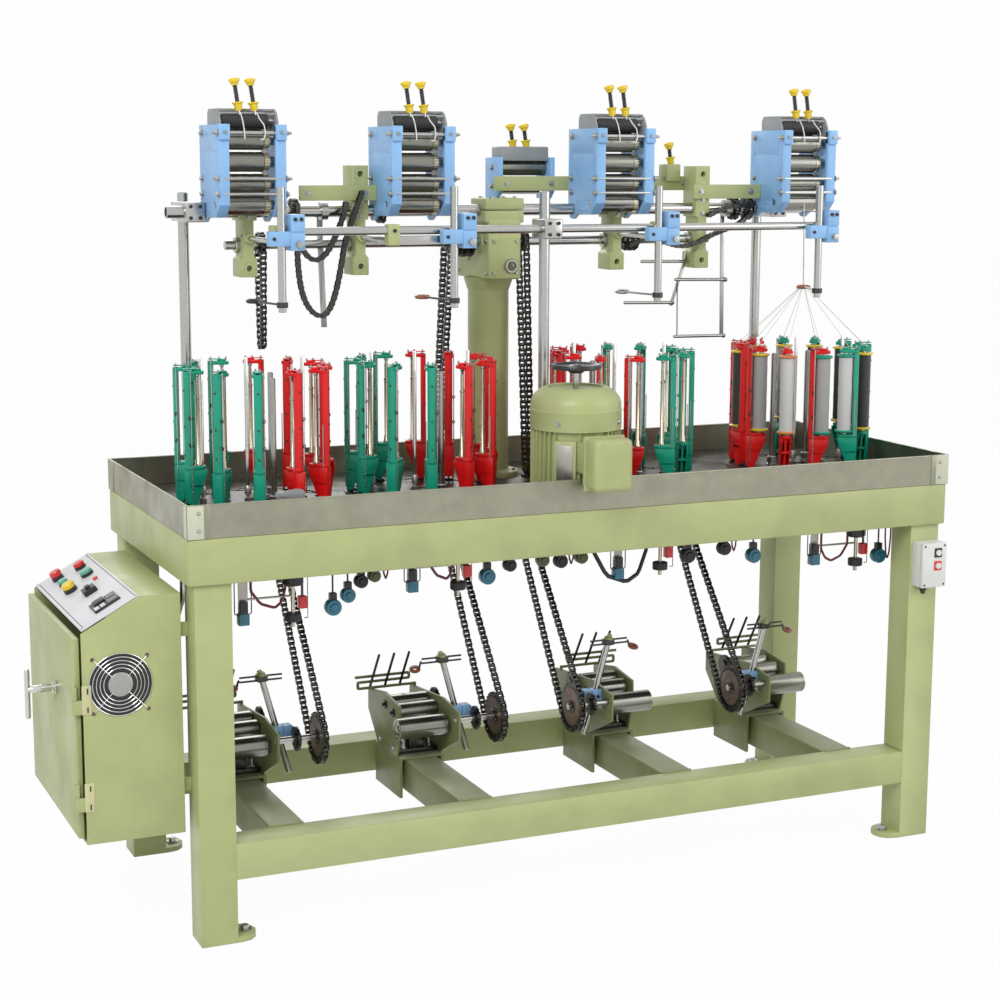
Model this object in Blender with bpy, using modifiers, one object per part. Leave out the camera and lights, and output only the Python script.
"""Four-head braiding machine on a welded table, with take-up rollers above the
heads, yarn let-off rollers below them and a control cabinet on the left end.
Lengths are metres, +X runs along the table, +Y to the back, +Z up."""
import math

import bmesh
import bpy
from mathutils import Matrix, Vector

# Clearances
SEAT = 0.0003
RUNNING = 0.0012
SINK = 0.002

# Table
TABLE_LENGTH = 1.90
TABLE_DEPTH = 0.715
TABLE_HEIGHT = 0.892
APRON_HEIGHT = 0.098
APRON_WALL = 0.050
APRON_CORNER = 0.012
LEG_SIZE = 0.080
LEG_INSET_X = 0.015
LEG_INSET_Y = 0.010
FOOT_THICKNESS = 0.012
FOOT_REACH = 0.050
RAIL_TOP = 0.222
RAIL_HEIGHT = 0.080
BEAM_WIDTH = 0.082
BEAM_INSET = 0.234
BEAM_INNER = 0.262
BEAM_OUTER = TABLE_LENGTH / 2 - BEAM_INSET
BEAM_X = (-BEAM_OUTER, -BEAM_INNER, BEAM_INNER, BEAM_OUTER)
WELD_STEP = 0.001

# Heights of the long tubes, from the table's top
SUPPORT_LIFT = 0.658
SHAFT_DROP = 0.076
GUIDE_DROP = 0.038
SUPPORT_Z = TABLE_HEIGHT + SUPPORT_LIFT
SHAFT_Z = SUPPORT_Z - SHAFT_DROP
GUIDE_Z = SUPPORT_Z - GUIDE_DROP

# Deck and the tray round it
DECK_THICKNESS = 0.006
TRACK_RADIUS = 0.184
TRACK_THICKNESS = 0.005
TRAY_HEIGHT = 0.073
TRAY_SHEET = 0.0025
TRAY_POST = 0.050
TRAY_POST_SHEET = 0.004
TRAY_INSET = 0.002

# Braiding heads and their carriers
HEAD_X = (-0.690, -0.285, 0.235, 0.750)
HEAD_Y = 0.360
GREEN_SIDE = (-1, -1, 1, 1)
BOBBIN_HEAD = 3
CARRIER_RING = 0.158
CARRIER_SPREAD = 75.0
RED_LEADS = (0.0, 0.0, 105.0, -39.0, -159.0, -99.0)
GREEN_LEADS = (51.0, 111.0, -9.0, 0.0, 0.0, 0.0)
CARRIER_HEIGHT = 0.315
CARRIER_BASE_HEIGHT = 0.085
CARRIER_POST = 0.014
CARRIER_CASTING = 0.018
CARRIER_REACH = 0.024
CARRIER_ARM = 0.009
CARRIER_SPINDLE = 0.004
CARRIER_LIFT = 0.001
BAND_INNER = 0.132
BAND_OUTER = 0.184
BAND_MARGIN = 6.0
RING_THICKNESS = 0.003
BOBBIN_RADIUS = 0.0175
BOBBIN_FLANGE = 0.023
BOBBIN_GAP = 0.004
BOBBIN_RIM = 0.008
TUBE_RADIUS = 0.0065
TUBE_HEIGHT = 0.285
TUBE_RING = 0.072
TUBE_ANGLES = (45, 165, 285)

# Motor on the deck
MOTOR_X = -0.003
MOTOR_Y = 0.122
MOTOR_RADIUS = 0.105
MOTOR_SIDES = 18
MOTOR_HEIGHT = 0.262
MOTOR_COWL_HEIGHT = 0.095
COWL_SHOULDER = 0.030
COWL_TAPER = 0.026
MOTOR_FLANGE = 0.012
MOTOR_FINS = 12
FIN_DEPTH = 0.008
FIN_WIDTH = 0.003
FIN_INSET = 0.002
SHAFT_RADIUS = 0.007
HANDWHEEL_RADIUS = 0.058
HANDWHEEL_HEIGHT = 0.012
HANDWHEEL_LIFT = 0.030
HANDWHEEL_RIM = 0.010
HANDWHEEL_DISH = 0.006
HUB_RADIUS = 0.018
HUB_FLARE = 0.030
HUB_HEIGHT = 0.008
TERMINAL_FRONT = -0.078
TERMINAL_WIDTH = 0.096
TERMINAL_LIFT = 0.052
TERMINAL_HEIGHT = 0.118
TERMINAL_ROUNDING = 0.012
NECK_WIDTH = 0.090
NECK_HEIGHT = 0.075
NECK_INSET = 0.020
NECK_LIFT = 0.004

# Column, gearbox and poles
COLUMN_X = -0.040
COLUMN_Y = 0.540
COLUMN_RADIUS = 0.050
COLUMN_FLANGE = 0.025
COLUMN_FLANGE_HEIGHT = 0.012
COLUMN_FLARE = 0.012
COLUMN_FLARE_HEIGHT = 0.030
GEARBOX_WIDTH = 0.086
GEARBOX_DEPTH = 0.200
GEARBOX_DROP = 0.089
GEARBOX_BOTTOM = SHAFT_Z - GEARBOX_DROP
GEARBOX_HEIGHT = 0.145
CAP_SIDE = 0.008
CAP_FRONT = 0.038
CAP_BACK = 0.052
CAP_WALL = 0.014
CAP_SUNK = 0.010
GLASS_RADIUS = 0.017
GLASS_DEPTH = 0.010
GLASS_X = 0.015
GLASS_LIFT = 0.032
POLE_RADIUS = 0.0125
POLE_Y = 0.565
LEFT_POLE_X = -0.793
RIGHT_POLE_X = 0.732
MIDDLE_POLE_X = -0.012
POLE_RISE = 0.0433
RIGHT_POLE_RISE = 0.0283
MIDDLE_POLE_RISE = 0.0483
MIDDLE_POLE_GAP = 0.006
POLE_COLLAR = 0.006
POLE_COLLAR_HEIGHT = 0.016
CLAMP_HEIGHT = 0.045
CLAMP_WALL = 0.010

# Tubes that carry the take-up units
SUPPORT_Y = 0.480
SUPPORT_RADIUS = 0.014
SUPPORT_OVERHANG = 0.062
SHAFT_Y = 0.500
DRIVE_RADIUS = 0.011
GUIDE_Y = 0.250
GUIDE_RADIUS = 0.0095
GUIDE_LEFT_OFFSET = 0.010
GUIDE_RIGHT_OFFSET = 0.040
GUIDE_ROD_OFFSETS = (0.022, 0.022, 0.022, -0.050)
GUIDE_ROD_RADIUS = 0.009
GUIDE_ROD_RISE = 0.098
GUIDE_ROD_TAIL = 0.016
GUIDE_ROD_FORWARD = 0.030
GUIDE_CLAMP_LEFT = 0.016
GUIDE_CLAMP_RIGHT = 0.042
GUIDE_CLAMP_DROP = 0.034
GUIDE_CLAMP_RISE = 0.016
GUIDE_CLAMP_WALL = 0.012
BRACE_RADIUS = 0.006
BRACE_DROP = 0.022
BRACE_NOSE = 0.010
LUG_WIDTH = 0.024
LUG_HEIGHT = 0.020
EYE_Z = GUIDE_Z - 0.157
EYE_RADIUS = 0.018
EYE_THICKNESS = 0.010
EYE_ARM_RADIUS = 0.0035
HANGER_X = (-0.670, -0.400, 0.270, 0.509)
TALL_HANGERS = (1, 3)
HANGER_WIDTH = 0.040
HANGER_DEPTH = 0.046
HANGER_DROP = 0.072
HANGER_RISE = 0.035
HANGER_TALL_RISE = 0.070
HANGER_BOTTOM = SHAFT_Z - HANGER_DROP
HANGER_TOP = SUPPORT_Z + HANGER_RISE
HANGER_WAIST = 0.008
HANGER_HOLE = 0.0075
FLAT_BAR_HEIGHT = 0.035
FLAT_BAR_THICKNESS = 0.010
FLAT_BAR_LIFT = 0.042
FLAT_BAR_REACHES = (0.15, 0.03)
BACK_BAR_LIFT = 0.020
BACK_BAR_LEFT = -0.030
KNOB_BLOCK_WIDTH = 0.040
KNOB_BLOCK_OFFSET = 0.055
KNOB_BLOCK_DROP = 0.012
KNOB_BLOCK_RISE = 0.030
KNOB_BLOCK_FRONT = 0.014
KNOB_BLOCK_BACK = 0.030
SUPPORT_KNOB_LENGTH = 0.052

# Drive shaft, its gear discs and hanging chains
DRIVE_LEFT = 0.045
DRIVE_RIGHT = 0.040
GEAR_DISC_RADIUS = 0.036
GEAR_DISC_OFFSETS = (0.030, 0.046, 0.062)
GEAR_DISC_WIDTH = 0.010
HANGING_RADIUS = 0.018
HANGING_SPROCKET = 0.020
HANGING_LIFT = 0.022
HANGING_X = (-0.630, -0.163, 0.033)
HANGING_Y = (0.000, 0.075, -0.040)
HANGING_FOOT_RADIUS = (0.006, 0.012, 0.012)
FREE_CHAIN_LENGTH = 0.224

# Take-up unit over each head
UNIT_WIDTH = 0.155
UNIT_FRONT = 0.350
UNIT_COLLAR = 0.023
UNIT_BOTTOM = SUPPORT_Z - 0.010
UNIT_TOP = SUPPORT_Z + 0.193
UNIT_PLATE = 0.011
UNIT_FLANGE = 0.020
UNIT_FLANGE_DEPTH = 0.010
UNIT_FLANGE_LIFT = 0.006
UNIT_CHAMFER = 0.028
UNIT_BLOCK_HEIGHT = 0.034
UNIT_BLOCK_FRONT = 0.008
UNIT_BLOCK_BACK = 0.012
UNIT_BLOCK_STEP = 0.001
ROLLER_RADIUS = 0.0232
ROLLER_PITCH = 0.048
ROLLER_Y = 0.388
ROLLER_LOWEST = SUPPORT_Z + 0.016
ROLLER_COUNT = 4
JOURNAL_RADIUS = 0.008
ROLLER_END_GAP = 0.008
TIE_ROD_RADIUS = 0.0045
TIE_ROD_REACH = 0.014
TIE_ROD_SUNK = 0.003
TIE_ROD_DROPS = (0.018, 0.118, 0.152)
ROOF_DROP = 0.014
ROOF_HEIGHT = 0.050
ROOF_FRONT = 0.020
ROOF_BACK = 0.010
KNOB_RADIUS = 0.0125
KNOB_HALF = 0.008
KNOB_NUT_STEP = 0.001
KNOB_NUT_SHARE = 0.3
KNOB_LEAN = 0.15
KNOB_STEM = 0.004
KNOB_SPACING = 0.036
KNOB_LENGTH = 0.075
KNOB_SUNK = 0.016
KNOB_FORWARD = 0.004

# Let-off unit on each cross beam
SADDLE_SHEET = 0.006
SADDLE_GAP = 0.025
SADDLE_LENGTH = 0.170
SADDLE_FRONT = TABLE_DEPTH - LEG_INSET_Y - LEG_SIZE - SADDLE_GAP - SADDLE_LENGTH
SADDLE_DROP = 0.095
SADDLE_BLOCK = 0.012
SADDLE_BLOCK_INSET = 0.030
SADDLE_BLOCK_REACH = 0.004
LETOFF_PLATE = 0.006
LETOFF_GAP = 0.106
LETOFF_NOSE = 0.022
LETOFF_NOSE_LOW = 0.068
LETOFF_PEAK = 0.150
LETOFF_PEAK_BACK = 0.100
LETOFF_TAIL = 0.050
LETOFF_TAIL_LOW = 0.078
LETOFF_TAIL_HIGH = 0.130
LETOFF_INSET = 0.020
LETOFF_ROLLER_RADIUS = 0.022
LETOFF_ROLLER_BACKS = (0.040, 0.094)
LETOFF_ROLLER_LIFTS = (0.112, 0.120)
LETOFF_SIDE = (1, 1, -1, -1)
POST_FORWARD = 0.040
POST_CLAMP_X = 0.030
POST_CLAMP_SIZE = 0.030
POST_CLAMP_DEPTH = 0.028
POST_CLAMP_REACH = 0.018
POST_CLAMP_SUNK = 0.003
POST_CLAMP_LIFT = 0.107
POST_RADIUS = 0.0075
POST_LOW = 0.023
POST_HIGH = 0.268
POST_OUT = 0.012
POST_LEAN = 0.067
ARM_RADIUS = 0.004
ARM_LIFT = 0.256
ARM_OUT = 0.050
ARM_IN = 0.055
EYE_DISC_RADIUS = 0.014
EYE_DISC_THICKNESS = 0.010
EYE_DISC_OUT = 0.070
EYE_DISC_DROP = 0.020
EYE_WIRE_RADIUS = 0.003
EYE_WIRE_SHARE = 0.1
COMB_LIFT = 0.173
COMB_FOOT_LIFT = 0.123
COMB_BACK = 0.020
COMB_HALF = 0.060
COMB_PRONG_SPACING = 0.040
COMB_PRONG_HEIGHT = 0.060
COMB_PRONG_RADIUS = 0.0035
SPROCKET_RADIUS = 0.058
SPROCKET_WIDTH = 0.008
SPROCKET_OFFSET = 0.158
SPROCKET_SHAFT_TIP = 0.012
SPROCKET_Y = SADDLE_FRONT - 0.085
SPROCKET_Z = RAIL_TOP + 0.114
TOP_SPROCKET_Y = TABLE_DEPTH - 0.075
TOP_SPROCKET_Z = TABLE_HEIGHT - 0.157
TOP_SPROCKET_RADIUS = 0.032
TOP_SHAFT_HALF = 0.032
TOP_BRACKET = 0.004
TOP_BRACKET_OFFSET = 0.028
TOP_BRACKET_DEPTH = 0.024
TOP_BRACKET_DROP = 0.014
CHAIN_THICKNESS = 0.010
CHAIN_WIDTH = 0.012
CHAIN_SUNK = 0.004
CHAIN_SHAFT_RADIUS = 0.008
FRONT_ROLLER_Y = SADDLE_FRONT - 0.038
FRONT_ROLLER_Z = RAIL_TOP + 0.093
FRONT_ROLLER_RADIUS = 0.026
FRONT_ROLLER_LENGTH = 0.125
FRONT_JOURNAL_STEP = 0.001
FRONT_JOURNAL_TIP = 0.003

# Control cabinet on the left legs
CABINET_GAP = 0.003
CABINET_RIGHT = -TABLE_LENGTH / 2 - CABINET_GAP
CABINET_WIDTH = 0.225
CABINET_FRONT = 0.058
CABINET_DEPTH = 0.495
CABINET_DROP = 0.644
CABINET_BOTTOM = TABLE_HEIGHT - CABINET_DROP
CABINET_HEIGHT = 0.524
CABINET_LUG_LIFTS = (0.102, 0.442)
CABINET_LUG_HEIGHT = 0.030
CABINET_LUG_SHEET = 0.006
CABINET_LUG_BACK = 0.060
CABINET_SLOPE_INSET = 0.025
CABINET_OVERCUT = 0.050
CABINET_SHEET = 0.004
CABINET_FLAT_TOP = 0.084
PANEL_DROP = 0.070
PANEL_THICKNESS = 0.003
DOOR_THICKNESS = 0.014
DOOR_MARGIN = 0.012
HINGE_RADIUS = 0.006
HINGE_LENGTH = 0.030
HINGE_STAND = 0.002
HANDLE_Y = 0.250
HANDLE_LIFT = 0.297
HANDLE_Z = CABINET_BOTTOM + HANDLE_LIFT
HANDLE_STEM = 0.070
HANDLE_STEM_RADIUS = 0.008
HANDLE_BAR = 0.110
HANDLE_BAR_RADIUS = 0.006
HANDLE_WASHER = 0.012
HANDLE_WASHER_RADIUS = 0.014
HANDLE_STEM_TIP = 0.004
FAN_INSET = 0.131
FAN_X = CABINET_RIGHT - FAN_INSET
FAN_LIFT = 0.340
FAN_Z = CABINET_BOTTOM + FAN_LIFT
FAN_RADIUS = 0.067
FAN_HUB = 0.026
FAN_WIRE = 0.003
FAN_BAR_OVERHANG = 0.008
FAN_BAR_RADIUS = 0.00135
HINGE_LOW = 0.118
HINGE_HIGH = 0.328
HINGE_Z = (CABINET_BOTTOM + HINGE_LOW, CABINET_BOTTOM + HINGE_HIGH)
DOOR_GAP = 0.002
PANEL_MARGIN_X = 0.006
PANEL_MARGIN_FRONT = 0.012
PANEL_MARGIN_BACK = 0.060
BUTTON_SUNK = 0.001
DISPLAY_SHARE = 0.42
DISPLAY_LENGTH = 0.045
DISPLAY_FRONT = 0.085
DISPLAY_BACK = 0.130
DISPLAY_HEIGHT = 0.008
PANEL_BUTTONS = ((0.28, 0.330, 0.013, 0.022), (0.25, 0.280, 0.013, 0.012), (0.30, 0.235, 0.018, 0.018),
                 (0.70, 0.330, 0.013, 0.016), (0.68, 0.275, 0.013, 0.014), (0.66, 0.215, 0.008, 0.008),
                 (0.56, 0.180, 0.013, 0.020))

# Small take-up unit behind the gearbox
REAR_X = 0.060
REAR_WIDTH = 0.150
REAR_DEPTH = 0.085
REAR_HEIGHT = 0.100
REAR_BOTTOM = SUPPORT_Z + 0.025
REAR_CHAMFER = 0.018
REAR_ROLLER_RADIUS = 0.020
REAR_ROLLER_LIFTS = (0.030, 0.075)
REAR_ROLLER_SUNK = 0.002
REAR_ROOF_INSET = 0.012
REAR_ROOF_DROP = 0.010
REAR_ROOF_RISE = 0.026
REAR_KNOB_RISE = 0.018
REAR_KNOB_LENGTH = 0.056

# Push-button box on the right front leg
SWITCH_WIDTH = 0.070
SWITCH_HEIGHT = 0.110
SWITCH_DEPTH = 0.045
SWITCH_Z = TABLE_HEIGHT - 0.192

ROUND = 10


def clear_scene():
    for old in list(bpy.data.objects):
        bpy.data.objects.remove(old, do_unlink=True)


def new_collection(name):
    group = bpy.data.collections.new(name)
    bpy.context.scene.collection.children.link(group)
    return group


clear_scene()
MODEL = new_collection("braiding_machine")


def material(name, colour, roughness, metallic=0.0):
    made = bpy.data.materials.new(name)
    made.use_nodes = True
    shader = made.node_tree.nodes["Principled BSDF"]
    shader.inputs["Base Color"].default_value = (*colour, 1.0)
    shader.inputs["Roughness"].default_value = roughness
    shader.inputs["Metallic"].default_value = metallic
    made.diffuse_color = (*colour, 1.0)
    return made


FRAME_GREEN = material("frame_green", (0.48, 0.53, 0.26), 0.45)
STEEL = material("steel", (0.55, 0.55, 0.54), 0.3, 1.0)
DARK_STEEL = material("dark_steel", (0.06, 0.06, 0.06), 0.5, 0.8)
TRAY_STEEL = material("galvanised_steel", (0.45, 0.45, 0.43), 0.4, 0.9)
BLUE = material("blue_paint", (0.26, 0.50, 0.83), 0.4)
CARRIER_GREEN = material("carrier_green", (0.01, 0.36, 0.24), 0.4)
CARRIER_RED = material("carrier_red", (0.68, 0.02, 0.02), 0.4)
PANEL_GREY = material("panel_grey", (0.55, 0.57, 0.60), 0.35, 0.3)
SWITCH_GREY = material("switch_grey", (0.75, 0.76, 0.74), 0.4)
CHAIN_BLACK = material("chain_black", (0.02, 0.02, 0.02), 0.45, 0.7)

# Primitive solids, each made at its place


def mesh_object(name, bm):
    mesh = bpy.data.meshes.new(name)
    bm.to_mesh(mesh)
    bm.free()
    made = bpy.data.objects.new(name, mesh)
    MODEL.objects.link(made)
    return made


def box(low, high):
    """A block between two opposite corners."""
    low = Vector(low)
    high = Vector(high)
    bm = bmesh.new()
    bmesh.ops.create_cube(bm, size=1.0)
    bmesh.ops.scale(bm, vec=high - low, verts=bm.verts)
    bmesh.ops.translate(bm, vec=(low + high) / 2, verts=bm.verts)
    return mesh_object("block", bm)


def rod(start, end, radius, sides=ROUND, radius_end=None):
    """A round bar, or a cone, between two points."""
    start = Vector(start)
    end = Vector(end)
    along = end - start
    bm = bmesh.new()
    bmesh.ops.create_cone(
        bm, cap_ends=True, segments=sides, radius1=radius,
        radius2=radius if radius_end is None else radius_end, depth=along.length)
    turn = along.to_track_quat("Z", "Y").to_matrix().to_4x4()
    bmesh.ops.transform(bm, matrix=Matrix.Translation((start + end) / 2) @ turn, verts=bm.verts)
    return mesh_object("rod", bm)


def mesh_from_curve(curve_object):
    """Turn a curve object into a welded mesh object in the same place."""
    bpy.context.view_layer.update()
    graph = bpy.context.evaluated_depsgraph_get()
    mesh = bpy.data.meshes.new_from_object(curve_object.evaluated_get(graph))
    bm = bmesh.new()
    bm.from_mesh(mesh)
    bmesh.ops.remove_doubles(bm, verts=bm.verts, dist=0.00002)
    bmesh.ops.recalc_face_normals(bm, faces=bm.faces)
    bm.to_mesh(mesh)
    bm.free()
    made = bpy.data.objects.new(curve_object.name, mesh)
    made.matrix_world = curve_object.matrix_world.copy()
    MODEL.objects.link(made)
    bpy.data.objects.remove(curve_object, do_unlink=True)
    return made


def flat(outline, thickness, plane, at, holes=()):
    """A flat outline extruded along the normal of its plane; at is its near side.
    The outline's two numbers are X, Y in plane XY, X, Z in XZ and Y, Z in YZ."""
    curve = bpy.data.curves.new("outline", "CURVE")
    curve.dimensions = "2D"
    curve.fill_mode = "BOTH"
    curve.extrude = thickness / 2
    for loop in (outline, *holes):
        spline = curve.splines.new("POLY")
        spline.points.add(len(loop) - 1)
        for point, (first, second) in zip(spline.points, loop):
            point.co = (first, second, 0.0, 1.0)
        spline.use_cyclic_u = True
    made = bpy.data.objects.new("plate", curve)
    MODEL.objects.link(made)
    middle = at + thickness / 2
    if plane == "XY":
        made.matrix_world = Matrix.Translation((0, 0, middle))
    elif plane == "XZ":
        made.matrix_world = Matrix.Translation((0, middle, 0)) @ Matrix.Rotation(math.pi / 2, 4, "X")
    else:
        turn = Matrix(((0, 0, 1, middle), (1, 0, 0, 0), (0, 1, 0, 0), (0, 0, 0, 1)))
        made.matrix_world = turn
    return in_place(mesh_from_curve(made))


def arc(centre, radius, start, end, steps):
    """Points on an arc, angles in degrees."""
    made = []
    for step in range(steps + 1):
        angle = math.radians(start + (end - start) * step / steps)
        made.append((centre[0] + radius * math.cos(angle), centre[1] + radius * math.sin(angle)))
    return made


def circle(centre, radius, steps=ROUND):
    return arc(centre, radius, 0.0, 360.0 * (steps - 1) / steps, steps - 1)


def hole(centre, shaft_radius, gap, sides=ROUND):
    """An outline that a many-sided shaft clears by the gap however it is turned."""
    return circle(centre, shaft_radius / math.cos(math.pi / sides) + gap, sides)


def rounded_rectangle(low, high, radius, steps=3):
    corners = (((high[0], high[1]), 0), ((low[0], high[1]), 90),
               ((low[0], low[1]), 180), ((high[0], low[1]), 270))
    outline = []
    for (x, y), start in corners:
        centre = (x - math.copysign(radius, x - (low[0] + high[0]) / 2),
                  y - math.copysign(radius, y - (low[1] + high[1]) / 2))
        outline += arc(centre, radius, start, start + 90, steps)
    return outline


# Joining and finishing


def in_place(made):
    """Move an object's own matrix into its mesh."""
    made.data.transform(made.matrix_world)
    made.matrix_world = Matrix.Identity(4)
    return made


def combine(base, others, operation):
    """Join solids to the base, or cut them out of it, and remove them."""
    for other in others:
        step = base.modifiers.new("step", "BOOLEAN")
        step.operation = operation
        step.solver = "EXACT"
        step.object = other
    bpy.context.view_layer.update()
    graph = bpy.context.evaluated_depsgraph_get()
    mesh = bpy.data.meshes.new_from_object(base.evaluated_get(graph))
    bm = bmesh.new()
    bm.from_mesh(mesh)
    bmesh.ops.dissolve_degenerate(bm, dist=0.00001, edges=bm.edges)
    bm.to_mesh(mesh)
    bm.free()
    base.modifiers.clear()
    base.data = mesh
    for other in others:
        bpy.data.objects.remove(other, do_unlink=True)
    return base


def join(pieces):
    return combine(pieces[0], pieces[1:], "UNION")


def cut(base, cutters):
    return combine(base, cutters, "DIFFERENCE")


def copy_of(source, matrix):
    made = bpy.data.objects.new(source.name, source.data.copy())
    made.data.transform(matrix)
    MODEL.objects.link(made)
    return made


def finish(made, name, look, origin=(0, 0, 0), carrier=None):
    """Name a sub-part, give it its material and put its origin on its axis."""
    made.name = name
    made.data.name = name
    made.data.materials.clear()
    made.data.materials.append(look)
    made.data.transform(Matrix.Translation(-Vector(origin)))
    made.data.shade_smooth()
    made.data.set_sharp_from_angle(angle=math.radians(35))
    made.parent = carrier or ROOT
    parent_origin = Vector(carrier["axis_point"]) if carrier else Vector()
    made.location = Vector(origin) - parent_origin
    made["axis_point"] = list(origin)
    return made


# The machine's box is centred on the world's origin
CABINET_LEFT = CABINET_RIGHT - CABINET_WIDTH
HANDLE_END = CABINET_LEFT - HANDLE_STEM
CENTRE_X = (HANDLE_END + TABLE_LENGTH / 2) / 2
CENTRE_Y = (TERMINAL_FRONT + TABLE_DEPTH) / 2
ROOT = bpy.data.objects.new("machine_centre", None)
MODEL.objects.link(ROOT)
ROOT.location = (-CENTRE_X, -CENTRE_Y, 0.0)

HALF = TABLE_LENGTH / 2
APRON_BOTTOM = TABLE_HEIGHT - APRON_HEIGHT
DECK_BOTTOM = TABLE_HEIGHT + SEAT
DECK_TOP = DECK_BOTTOM + DECK_THICKNESS
TRACK_TOP = DECK_TOP + TRACK_THICKNESS
RAIL_BOTTOM = RAIL_TOP - RAIL_HEIGHT
LEG_OUTER = HALF - LEG_INSET_X
LEG_INNER = LEG_OUTER - LEG_SIZE
FRONT_LEG_Y = (LEG_INSET_Y, LEG_INSET_Y + LEG_SIZE)
BACK_LEG_Y = (TABLE_DEPTH - LEG_INSET_Y - LEG_SIZE, TABLE_DEPTH - LEG_INSET_Y)


def end_frame(name, leg_y):
    """Two legs with their feet and the low rail that ties them."""
    low, high = leg_y
    pieces = []
    for side in (-1, 1):
        inner, outer = side * LEG_INNER, side * LEG_OUTER
        pieces.append(box((min(inner, outer), low, SINK),
                          (max(inner, outer), high, APRON_BOTTOM - SEAT)))
        tip = inner - side * (FOOT_REACH - LEG_SIZE / 2)
        start = 90 if side > 0 else -90
        outline = arc((tip, (low + high) / 2), LEG_SIZE / 2, start, start + 180, 6)
        outline += [(outer, low if side > 0 else high), (outer, high if side > 0 else low)]
        pieces.append(flat(outline, FOOT_THICKNESS, "XY", 0.0))
    pieces.append(box((-LEG_INNER - SINK, low + WELD_STEP, RAIL_BOTTOM),
                      (LEG_INNER + SINK, high - WELD_STEP, RAIL_TOP)))
    finish(join(pieces), name, FRAME_GREEN)


def build_frame():
    end_frame("front_legs_and_rail", FRONT_LEG_Y)
    end_frame("back_legs_and_rail", BACK_LEG_Y)
    for number, x in enumerate(BEAM_X, 1):
        beam = box((x - BEAM_WIDTH / 2, FRONT_LEG_Y[1] + SEAT, RAIL_BOTTOM),
                   (x + BEAM_WIDTH / 2, BACK_LEG_Y[0] - SEAT, RAIL_TOP))
        finish(beam, f"cross_beam_{number}", FRAME_GREEN)
    outer = rounded_rectangle((-HALF, 0.0), (HALF, TABLE_DEPTH), APRON_CORNER)
    inner = rounded_rectangle((-HALF + APRON_WALL, APRON_WALL),
                              (HALF - APRON_WALL, TABLE_DEPTH - APRON_WALL), APRON_CORNER)
    finish(flat(outer, APRON_HEIGHT, "XY", APRON_BOTTOM, (inner,)), "apron", FRAME_GREEN)


def tray_corner(side, back):
    """The outline of the tray round one corner post, which stands proud of the two walls."""
    x = side * HALF
    y = TABLE_DEPTH / 2 - back * TABLE_DEPTH / 2
    corner = [(x - side * TRAY_INSET, y + back * TRAY_POST), (x, y + back * TRAY_POST), (x, y),
              (x - side * TRAY_POST, y), (x - side * TRAY_POST, y + back * TRAY_INSET)]
    if side * back > 0:
        corner.reverse()
    return corner


def build_deck():
    """The deck plate with a raised round track plate and steel tubes for each head."""
    edge = TRAY_POST_SHEET + RUNNING
    pieces = [box((-HALF + edge, edge, DECK_BOTTOM), (HALF - edge, TABLE_DEPTH - edge, DECK_TOP))]
    for x in HEAD_X:
        pieces.append(rod((x, HEAD_Y, DECK_TOP - SINK), (x, HEAD_Y, TRACK_TOP), TRACK_RADIUS, 20))
        for degrees in TUBE_ANGLES:
            angle = math.radians(degrees)
            foot = Vector((x + TUBE_RING * math.cos(angle), HEAD_Y + TUBE_RING * math.sin(angle), TRACK_TOP))
            pieces.append(rod(foot - Vector((0, 0, SINK)), foot + Vector((0, 0, TUBE_HEIGHT)),
                              TUBE_RADIUS, 6))
    finish(join(pieces), "deck", DARK_STEEL)

    inner = TRAY_INSET + TRAY_SHEET
    outline = tray_corner(-1, 1) + tray_corner(1, 1) + tray_corner(1, -1) + tray_corner(-1, -1)
    inside = [(-HALF + inner, inner), (HALF - inner, inner), (HALF - inner, TABLE_DEPTH - inner),
              (-HALF + inner, TABLE_DEPTH - inner)]
    finish(flat(outline, TRAY_HEIGHT, "XY", DECK_BOTTOM, (inside,)), "tray", TRAY_STEEL)


def carrier_solid(with_bobbin):
    """One bobbin carrier standing at the origin: a C-shaped casting and its spindle."""
    height = CARRIER_HEIGHT
    base = CARRIER_BASE_HEIGHT
    outer, inner, reach = -CARRIER_REACH, CARRIER_POST - CARRIER_REACH, CARRIER_REACH
    arm = CARRIER_ARM
    outline = [(outer, 0.0), (inner, 0.0), (reach, base), (reach, base + arm), (inner, base + arm),
               (inner, height - arm), (reach, height - arm), (reach, height), (outer, height)]
    spindle_y = (inner + reach) / 2
    pieces = [flat(outline, CARRIER_CASTING, "YZ", -CARRIER_CASTING / 2),
              rod((0, spindle_y, base + arm / 2), (0, spindle_y, height - arm / 2), CARRIER_SPINDLE, 4)]
    if with_bobbin:
        low, high = base + arm + BOBBIN_GAP, height - arm - BOBBIN_GAP
        pieces.append(rod((0, spindle_y, low + SINK), (0, spindle_y, high - SINK), BOBBIN_RADIUS, 6))
        for z in (low, high - BOBBIN_RIM):
            pieces.append(rod((0, spindle_y, z), (0, spindle_y, z + BOBBIN_RIM), BOBBIN_FLANGE, 6))
    return join(pieces)


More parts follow.
